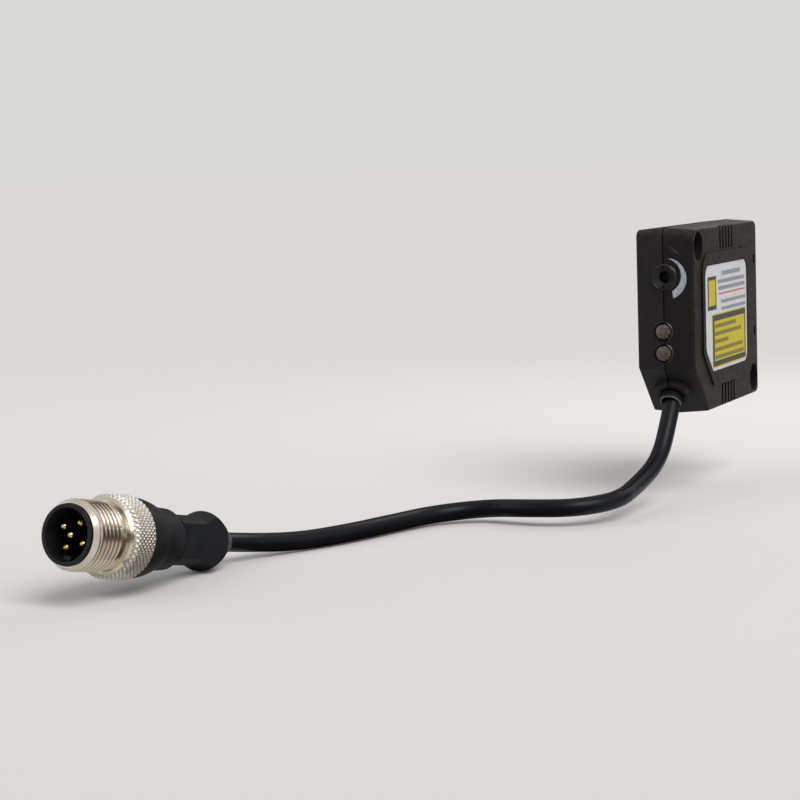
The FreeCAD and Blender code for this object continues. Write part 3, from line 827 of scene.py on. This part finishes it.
# Cable, one smooth line from the bush to the plug
cableRoute = {
    "exit": (5.9, -15.814, -10.864),
    "points": [
        (6.3, -23.4, -19.35),
        (5.7, -29.1, -27.6),
        (4.3, -40.8, -31.2),
        (4.0, -50.4, -32.3),
        (-2.2, -57.3, -32.9),
        (-11.1, -58.3, -33.1),
        (-20.8, -55.2, -33.8),
        (-30.2, -60.4, -34.5),
        (-34.1, -72.0, -34.6),
        (-37.7, -84.5, -34.6),
        (-43.3, -95.0, -34.7),
        (-49.379, -106.437, -33.149),
        (-50.564, -116.676, -31.146),
    ],
    "diameter": 3.5,
    "length": 141.2,
    "stepsAlong": 24,  # between two points
    "sectionSteps": 8,  # more make its section rounder
}
jacketPvc = mouldedPlastic(  # blue-black jacket with one long soft highlight
    "extrudedPvcJacketBlack",
    {
        "dark": "#0d0e12",
        "light": "#131419",
        "grainMm": 0.5,
        "cloudMm": 8.0,
        "grainDepthMm": 0.01,
        "bump": 0.25,
        "roughness": (0.3, 0.38),
        "ior": 1.52,
        "specular": 0.16,
        "hollowMm": 1.0,
        "edgeMm": 0.05,
    },
)


def layCable(spec):
    curve = bpy.data.curves.new("cableLine", "CURVE")
    curve.dimensions = "3D"
    curve.resolution_u = spec["stepsAlong"]
    curve.bevel_depth = spec["diameter"] / 2 * mm
    curve.bevel_resolution = spec["sectionSteps"]
    curve.use_fill_caps = True
    spline = curve.splines.new("NURBS")
    points = [spec["exit"], *spec["points"]]
    spline.points.add(len(points) - 1)
    for point, place in zip(spline.points, points):
        point.co = (*(Vector(place) * mm), 1.0)
    spline.order_u = 3  # set after the points, or the line stays straight between them
    spline.use_endpoint_u = True
    piece = bpy.data.objects.new("cableLine", curve)
    scene.collection.objects.link(piece)
    curve.materials.append(jacketPvc)
    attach(piece, "case")
    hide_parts("cable")
    return piece


cableLine = layCable(cableRoute)
print("cable laid")

# Plug finishes
gripTpu = mouldedPlastic(  # charcoal, soft to the eye and nearly without gloss
    "mouldedTpuGripBlack",
    {
        "dark": "#1b1c1e",
        "light": "#252628",
        "grainMm": 0.4,
        "cloudMm": 4.0,
        "grainDepthMm": 0.02,
        "bump": 0.35,
        "roughness": (0.5, 0.62),
        "ior": 1.5,
        "specular": 0.13,
        # a wide reach, so painted shade darkens the grip behind its collar and round the bulge
        "hollowMm": 3.0,
        "edgeMm": 0.1,
    },
)
dress(["plug_overmould"], gripTpu)
insertNylon = mouldedPlastic(  # black cup, painted shade darkening it towards its floor
    "mouldedNylonCarrierBlack",
    {
        "dark": "#18181a",
        "light": "#222224",
        "grainMm": 0.4,
        "cloudMm": 3.0,
        "grainDepthMm": 0.01,
        "bump": 0.2,
        "roughness": (0.35, 0.45),
        "ior": 1.53,
        "specular": 0.16,
        "hollowMm": 5.0,
        "edgeMm": 0.1,
    },
)
dress(["contact_insert"], insertNylon)
goldContact = turnedMetal(  # warm glints deep in the cup
    "goldPlatedContact",
    {"dark": "#b08c4d", "light": "#d2b378", "markMm": 0.15, "stainMm": 1.0, "roughness": (0.2, 0.3)},
)
dress(contactNames, goldContact)
bushRubber = mouldedPlastic(  # dull black that swallows the light
    "mouldedRubberBlack",
    {
        "dark": "#131213",
        "light": "#1b1a1b",
        "grainMm": 0.3,
        "cloudMm": 2.0,
        "grainDepthMm": 0.02,
        "bump": 0.4,
        "roughness": (0.55, 0.7),
        "ior": 1.5,
        "specular": 0.14,
        "hollowMm": 1.0,
        "edgeMm": 0.05,
    },
)
dress(["cable_bush"], bushRubber)

# Coupling nut, turned brass with a cut thread and a diamond knurl; sizes in mm from the plug's front
nut = {
    "jointAt": 8.2,  # where the nut's joint lies
    "front": 0.5,
    "bore": 5.18,
    "threadRadius": 6.0,
    "threadLength": 7.5,
    "threadLead": 1.2,
    "threadBare": 0.6,  # share of the lead before the cut begins
    "threadPitch": 1.0,
    "threadDepth": 0.55,
    "threadRunout": 0.01,  # step down to the relief
    "chamfer": 0.7,
    "reliefRadius": 5.6,
    "reliefLength": 1.3,
    "knurlRadius": 7.2,
    "knurlLength": 5.6,
    "knurlLead": 1.2,
    "knurlBare": 0.45,  # bare part of the lead cone
    "knurlChamfer": 0.25,
    "knurlTeeth": 48,
    "knurlDepth": 0.3,
    "knurlLand": 0.5,  # share left standing between the cuts
    "knurlSecond": 0.6,  # the second set of cuts is shallower
    "knurlCutDarkening": 0.55,
    "crestFlat": 0.14,  # share of the thread's pitch
    "rootFlat": 0.08,
    "noseBore": 6.1,
    "noseFrom": 10.8,
    "seatBore": 5.65,  # room for the insert's snap ridge
    "seatFrom": 9.5,
    "seatTo": 10.4,
    "around": 384,
    "threadStep": 0.0625,
    "knurlStep": 0.1,
    "sharpDegrees": 38,
}


def platedNut(name, look):
    # nickel-plated brass: warm and bright, darker and browner down in the cuts
    material = turnedMetal(name, look)
    tree = material.node_tree
    shader = tree.nodes["Principled BSDF"]
    plate = shader.inputs["Base Color"].links[0].from_socket
    cut = addNode(tree, "ShaderNodeAttribute", {"attribute_name": "cutDepth"})
    depth = addNode(
        tree,
        "ShaderNodeMapRange",
        {"From Min": 0.05, "From Max": 0.55},
        {"Value": cut.outputs["Fac"]},
    )
    tone = addNode(
        tree,
        "ShaderNodeMix",
        {"data_type": "RGBA", mixSecond: hexColour(look["inCuts"])},
        {mixFactor: depth.outputs["Result"], mixFirst: plate},
    )
    tree.links.new(tone.outputs[mixResult], shader.inputs["Base Color"])
    return material


nickelBrass = platedNut(  # bright bands along the thread
    "nickelPlatedBrass",
    {
        "dark": "#cfc5b5",
        "light": "#e2d9ca",
        "inCuts": "#9c8472",
        "markMm": 0.15,
        "stainMm": 3.0,
        "roughness": (0.18, 0.28),
    },
)
knurledNickel = platedNut(  # satin sparkle, the knurl blurs what it reflects
    "nickelPlatedKnurl",
    {
        "dark": "#d8d2c8",
        "light": "#e6e1d8",
        "inCuts": "#a99e91",
        "markMm": 0.15,
        "stainMm": 2.0,
        "roughness": (0.46, 0.6),
    },
)


def plugPlace(spec):
    # carries local Z along the plug from its front, with local Y up
    joint = jointNamed("coupling_nut_turn")
    axis = Vector(joint["axis"]).normalized()
    front = Vector(joint["pos_m"]) - axis * spec["jointAt"] * mm
    left = Vector((0, 0, 1)).cross(axis).normalized()
    turn = Matrix((left, axis.cross(left), axis)).transposed()
    return Matrix.Translation(front) @ turn.to_4x4()


def wave(value):
    # triangle wave between 0 and 1
    return abs((value % 1.0) * 2 - 1)


def lathe(rows, around, place):
    # closed ring of faces through rows of (distance, radius), or of a radius and cut depth by turn
    bm = bmesh.new()
    cutDepth = bm.verts.layers.float.new("cutDepth")
    loops = []
    for s, radius in rows:
        loop = []
        for i in range(around):
            turn = i / around
            r, depth = radius(turn) if callable(radius) else (radius, 0.0)
            angle = turn * 2 * math.pi
            vert = bm.verts.new((r * math.cos(angle) * mm, r * math.sin(angle) * mm, s * mm))
            vert[cutDepth] = depth
            loop.append(vert)
        loops.append(loop)
    for a, b in zip(loops, loops[1:] + loops[:1]):
        for i in range(around):
            j = (i + 1) % around
            bm.faces.new((a[i], a[j], b[j], b[i]))
    bm.transform(place)
    return bm


def spread(start, end, step):
    # even places from start to end, about a step apart
    count = max(1, round((end - start) / step))
    return [start + (end - start) * i / count for i in range(count + 1)]


def threadedNut(spec):
    threadEnd = spec["front"] + spec["threadLength"]
    knurlFrom = threadEnd + spec["reliefLength"]
    knurlTo = knurlFrom + spec["knurlLength"]
    cutsFrom = knurlFrom + spec["knurlBare"]

    def threadRadius(s):
        lead = min(1.0, (s - spec["front"]) / spec["threadLead"], (threadEnd - s) / spec["chamfer"])
        crest = spec["threadRadius"] - spec["chamfer"] * (1 - max(0.0, lead))
        begun = min(1.0, max(0.0, (s - spec["front"]) / spec["threadLead"] - spec["threadBare"]))

        def radius(turn):
            ramp = 1 - spec["crestFlat"] - spec["rootFlat"]
            cut = min(1.0, max(0.0, wave(s / spec["threadPitch"] - turn) - spec["crestFlat"]) / ramp)
            return min(crest, spec["threadRadius"] - cut * begun * spec["threadDepth"]), cut * begun

        return radius

    def knurlRadius(s):
        crest = spec["knurlRadius"]
        crest -= max(0.0, spec["knurlLead"] - (s - knurlFrom), spec["knurlChamfer"] - (knurlTo - s))
        lean = (s - knurlFrom) / (2 * math.pi * spec["knurlRadius"])

        def radius(turn):
            left = wave((turn + lean) * spec["knurlTeeth"])
            right = wave((turn - lean) * spec["knurlTeeth"])
            cut = max(0.0, right - spec["knurlLand"], (left - spec["knurlLand"]) * spec["knurlSecond"])
            cut = cut / (1 - spec["knurlLand"]) if s > cutsFrom else 0.0
            return crest - cut * spec["knurlDepth"], cut * spec["knurlCutDarkening"]

        return radius

    rows = [(spec["front"], spec["bore"])]
    rows += [(s, threadRadius(s)) for s in spread(spec["front"], threadEnd, spec["threadStep"])]
    rows += [(threadEnd + spec["threadRunout"], spec["reliefRadius"]), (knurlFrom, spec["reliefRadius"])]
    rows += [(s, knurlRadius(s)) for s in spread(knurlFrom, knurlTo, spec["knurlStep"])]
    rows += [(knurlTo, spec["noseBore"]), (spec["noseFrom"], spec["noseBore"])]
    rows += [(spec["noseFrom"], spec["bore"]), (spec["seatTo"], spec["bore"])]
    rows += [(spec["seatTo"], spec["seatBore"]), (spec["seatFrom"], spec["seatBore"])]
    rows += [(spec["seatFrom"], spec["bore"])]
    place = plugPlace(spec)
    blank = lathe(rows, spec["around"], place)
    piece = addPiece("couplingNut", blank, [nickelBrass, knurledNickel], "coupling_nut")
    toPlug = place.inverted()
    for face in piece.data.polygons:
        face.material_index = int((toPlug @ face.center).z > cutsFrom * mm)
    shadeSmooth(piece, spec["sharpDegrees"])
    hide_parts("coupling_nut")
    return piece


couplingNut = threadedNut(nut)
print("plug made")

# Small rings: the rims of the rear face's holes, the bush's end, painted pale as a highlight, and the
# grip's tail
rings = {
    "around": 96,
    "sharpDegrees": 30,
    "bossY": -24.6,  # top of the adjuster's boss, mm
    "adjusterRim": [(0.05, 2.3), (-0.06, 2.4), (0.24, 2.7), (0.3, 2.6)],  # rows of distance and radius, mm
    "lampRim": [(0.35, 1.88), (-0.06, 1.9), (0.16, 2.12), (0.35, 2.1)],
    "bushLip": [(-0.1, 1.82), (0.05, 1.86), (0.05, 2.1), (-0.1, 2.2)],
    "bushOut": (0, -1, -1),  # square to the cut corner
    "tailSleeve": [(41.25, 2.2), (41.3, 2.46), (43.4, 2.3), (43.5, 1.85)],  # from the plug's front
}
rimAbs = mouldedPlastic(  # polished edge that catches a thin line of light
    "mouldedAbsPolishedRim",
    {
        "dark": "#1a1819",
        "light": "#211f20",
        "grainMm": 0.4,
        "cloudMm": 2.0,
        "grainDepthMm": 0.005,
        "bump": 0.1,
        "roughness": (0.24, 0.32),
        "ior": 1.53,
        "specular": 0.5,
        "hollowMm": 0.1,
        "edgeMm": 0.02,
    },
)
paintedLipHighlight = mottledFinish(  # grey ring, a painted highlight along the bush's end edge
    "bushLipPaintedHighlight",
    {"dark": "#504d4b", "light": "#757270", "mottleMm": 0.4, "roughness": 0.6},
)
tailTpu = mottledFinish(  # thin flash, pale and uneven
    "mouldedTpuFlashGrey",
    {"dark": "#2c2c2c", "light": "#6b6a69", "mottleMm": 0.5, "roughness": 0.5},
)


def placeAlong(middle, axis):
    # carries local Z along an axis from a middle in mm
    turn = Vector(axis).to_track_quat("Z", "Y").to_matrix()
    return Matrix.Translation(Vector(middle) * mm) @ turn.to_4x4()


def addRings(spec):
    adjuster = Vector(jointNamed("gain_adjuster")["pos_m"]) / mm
    rims = [("adjusterRim", spec["adjusterRim"], (adjuster.x, spec["bossY"], adjuster.z))]
    for lampName in lampNames:
        middle = middleOf(lampName)
        rims.append((lampName + "Rim", spec["lampRim"], (middle.x, rearPrint["rearY"], middle.z)))
    for name, rows, middle in rims:
        rim = lathe(rows, spec["around"], placeAlong(middle, -outOfRear))
        piece = addPiece(name, rim, [rimAbs], "case")
        shadeSmooth(piece, spec["sharpDegrees"])
    out = Vector(spec["bushOut"]).normalized()
    bush = nodes["cable_bush"]
    reach = max((bush.matrix_world @ vert.co).dot(out) for vert in bush.data.vertices) / mm
    start = Vector(cableRoute["exit"])
    lip = lathe(spec["bushLip"], spec["around"], placeAlong(start + out * (reach - start.dot(out)), out))
    addPiece("bushLip", lip, [paintedLipHighlight], "case")
    tail = lathe(spec["tailSleeve"], spec["around"], plugPlace(nut))
    return addPiece("tailSleeve", tail, [tailTpu], "case")


tailSleeve = addRings(rings)
print("rings added")

# Studio: pale floor and world, soft lights, and dark cards that shape what the nut reflects
studio = {
    "floorZ": -36.6,  # mm
    "floorSize": 40000.0,
    "cardLift": 0.3,  # of the card that lies on the floor
    "floorColour": "#efeeec",
    "backColour": "#d9d9d8",  # what the camera and shiny surfaces see beyond the floor
    "ambientColour": "#f4f4f6",
    "ambient": 0.38,
    "middle": (-20, -60, -10),  # of the object, where the lights aim, mm
}
lights = {  # kind, place in mm, settings
    "keySoft": ("SUN", (550, -450, 700), {"energy": 1.8, "angle": math.radians(40)}),
    "fillSoft": ("SUN", (-600, -500, 500), {"energy": 0.3, "angle": math.radians(60)}),
    "backStrip": (
        "AREA",
        (20, 197, 153),
        {"energy": 0.1, "shape": "RECTANGLE", "size": 0.16, "size_y": 0.07},
    ),
}
nutMiddle = (-54, -148, -25)
cards = {  # place, where it faces, size, all in mm, and colour
    "cardBehindCamera": ((50, -720, 110), nutMiddle, (1100, 300), "#4a4038"),
    "cardBackRight": ((240, 150, 0), nutMiddle, (240, 110), "#3a302a"),
    "cardBackLeft": ((-137, 160, 66), nutMiddle, (235, 200), "#7d6f58"),
    "cardOverPlug": ((-156, -283, 218), nutMiddle, (210, 180), "#7d6f56"),
    "cardOnFloor": ((1, -105, studio["floorZ"] + studio["cardLift"]), (1, -105, 0), (96, 94), "#4a3226"),
}


def mattePaper(name, colour):
    # uncoated paper: one flat colour with hardly any gloss
    material = bpy.data.materials.new(name)
    material.use_nodes = True
    shader = material.node_tree.nodes["Principled BSDF"]
    shader.inputs["Base Color"].default_value = hexColour(colour)
    shader.inputs["Roughness"].default_value = 0.95
    shader.inputs["Specular IOR Level"].default_value = 0.1
    return material


def addPlane(name, size, material, place, turn):
    # flat sheet of the stage
    bm = bmesh.new()
    bmesh.ops.create_grid(bm, x_segments=1, y_segments=1, size=0.5)
    bmesh.ops.scale(bm, vec=(size[0] * mm, size[1] * mm, 1), verts=bm.verts)
    mesh = bpy.data.meshes.new(name)
    bm.to_mesh(mesh)
    bm.free()
    mesh.materials.append(material)
    plane = bpy.data.objects.new(name, mesh)
    plane.location = Vector(place) * mm
    plane.rotation_euler = turn
    scene.collection.objects.link(plane)
    return plane


def addCard(name, place, towards, size, colour):
    # card that only shiny surfaces see
    facing = (Vector(towards) - Vector(place)).to_track_quat("Z", "Y").to_euler()
    card = addPlane(name, size, mattePaper(name + "Paper", colour), place, facing)
    card.visible_camera = False
    card.visible_shadow = False
    card.visible_diffuse = False


def addLight(name, kind, place, settings):
    data = bpy.data.lights.new(name, kind)
    for setting, value in settings.items():
        setattr(data, setting, value)
    light = bpy.data.objects.new(name, data)
    scene.collection.objects.link(light)
    light.location = Vector(place) * mm
    light.rotation_euler = (Vector(studio["middle"]) - Vector(place)).to_track_quat("-Z", "Y").to_euler()
    light.visible_camera = False


def addWorld(spec):
    # soft light all round, and a plain pale backdrop for the camera, reflections and clear pieces
    world = bpy.data.worlds.new("paleStudio")
    world.use_nodes = True
    tree = world.node_tree
    ambient = tree.nodes["Background"]
    ambient.inputs["Color"].default_value = hexColour(spec["ambientColour"])
    ambient.inputs["Strength"].default_value = spec["ambient"]
    seen = addNode(tree, "ShaderNodeBackground", {"Color": hexColour(spec["backColour"]), "Strength": 1.0})
    path = addNode(tree, "ShaderNodeLightPath")
    direct = addNode(
        tree,
        "ShaderNodeMath",
        {"operation": "MAXIMUM"},
        {0: path.outputs["Is Camera Ray"], 1: path.outputs["Is Glossy Ray"]},
    )
    shown = addNode(
        tree,
        "ShaderNodeMath",
        {"operation": "MAXIMUM"},
        {0: direct.outputs["Value"], 1: path.outputs["Is Transmission Ray"]},
    )
    mix = addNode(
        tree,
        "ShaderNodeMixShader",
        {},
        {0: shown.outputs["Value"], 1: ambient.outputs["Background"], 2: seen.outputs["Background"]},
    )
    tree.links.new(mix.outputs["Shader"], tree.nodes["World Output"].inputs["Surface"])
    scene.world = world


for cardName, cardSpec in cards.items():
    addCard(cardName, *cardSpec)
floorPaper = mattePaper("mattePaperFloor", studio["floorColour"])
addPlane("studioFloor", (studio["floorSize"],) * 2, floorPaper, (0, 0, studio["floorZ"]), (0, 0, 0))
addWorld(studio)
for lightName, lightSpec in lights.items():
    addLight(lightName, *lightSpec)
scene.view_settings.view_transform = "Standard"
print("studio lit")
